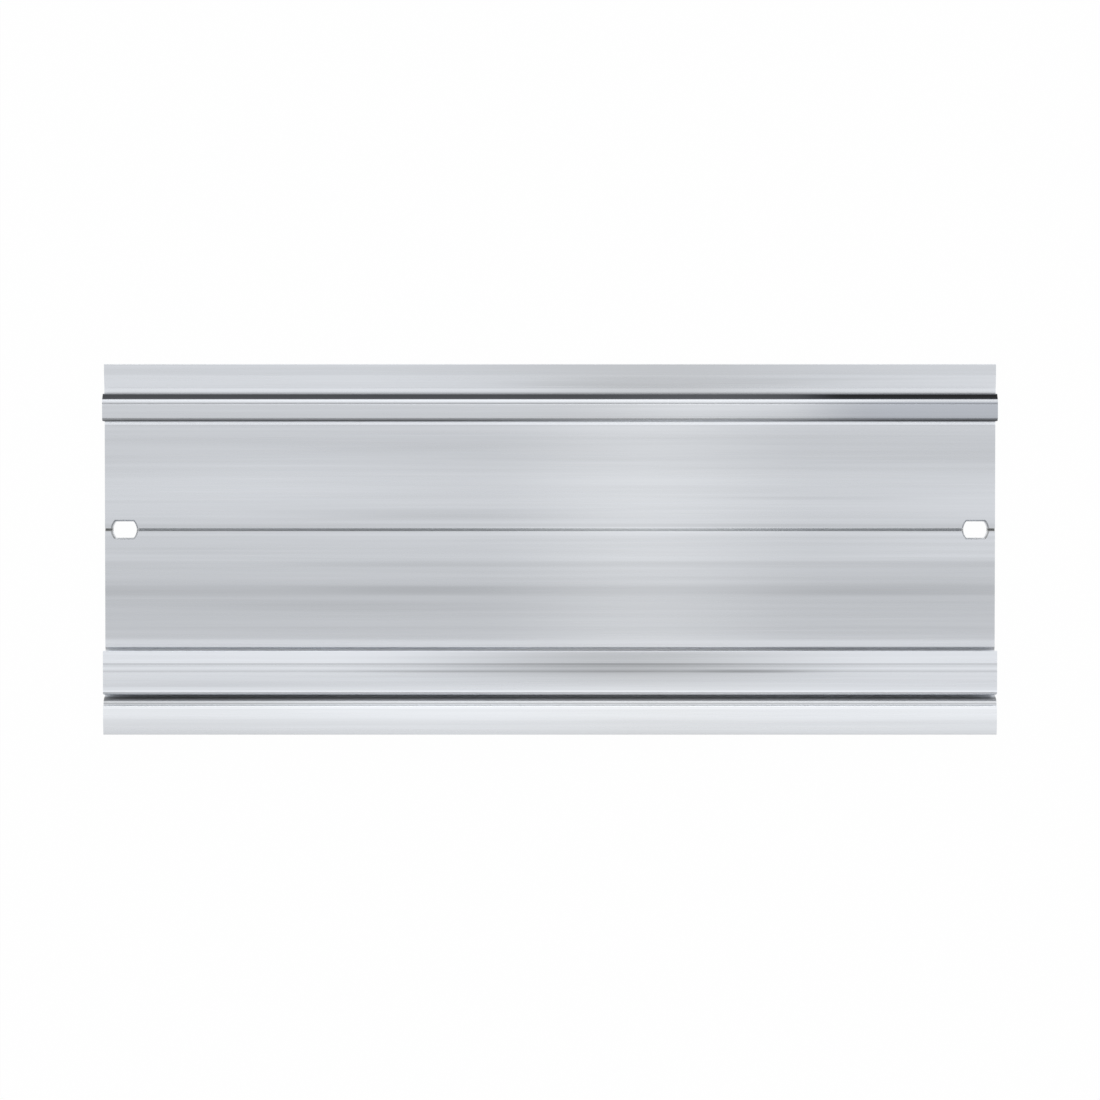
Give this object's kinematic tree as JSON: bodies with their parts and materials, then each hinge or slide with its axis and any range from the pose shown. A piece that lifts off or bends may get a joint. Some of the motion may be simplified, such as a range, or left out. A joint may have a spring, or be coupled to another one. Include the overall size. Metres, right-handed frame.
{
  "type": "mounting rail",
  "caption": "Flat extruded aluminium rail for control equipment, with a hook lip to hang modules on, a top-hat strip along the lower side and a fixing slot near each end.",
  "frame": {"origin": "middle of the back, where the rail rests on the floor or the wall", "axes": "+X along the rail, +Y across it towards the hook lip, +Z out of the front"},
  "size_m": [0.373, 0.1546, 0.0115],
  "materials": {
    "aluminium": "satin mill finish with fine lines along the length"
  },
  "bodies": {
    "root": {"mounting_rail": "aluminium"}
  },
  "joints": []
}
